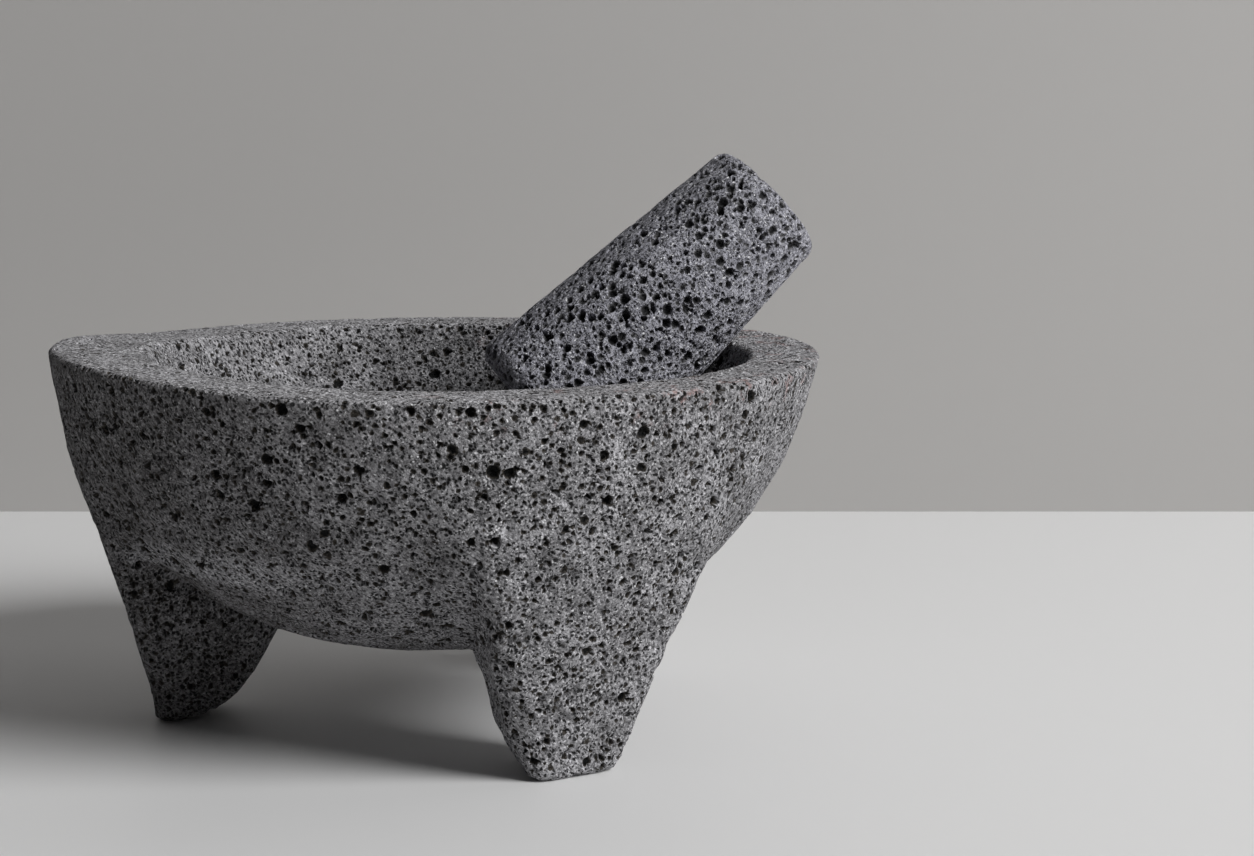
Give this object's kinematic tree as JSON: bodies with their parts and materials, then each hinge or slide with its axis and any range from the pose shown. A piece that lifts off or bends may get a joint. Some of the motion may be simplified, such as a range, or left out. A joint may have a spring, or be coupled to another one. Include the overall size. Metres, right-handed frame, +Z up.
{
  "type": "molcajete",
  "caption": "Squat stone mortar on tapered legs carved from one porous block, with a loose cone-shaped pestle leaning in the bowl.",
  "frame": {"origin": "on the bowl's axis at the level of the floor, under the middle of the mortar", "axes": "+Z up; +X towards the side of the rim that the pestle leans on, opposite the left leg; the front leg points between +X and -Y"},
  "size_m": [0.204, 0.204, 0.1515],
  "materials": {
    "mortar_basalt": "rough, vesicular basalt, full of small open pores, with a flat ground rim",
    "pestle_basalt": "rough, vesicular basalt with larger round pores"
  },
  "bodies": {
    "mortar": {"mortar": "mortar_basalt"},
    "pestle": {"pestle": "pestle_basalt"}
  },
  "joints": [
    {"name": "pestle_lift", "type": "slide", "parent": "mortar", "child": "pestle", "axis": [0, 0, 1], "range_m": [0, 0.12]}
  ]
}
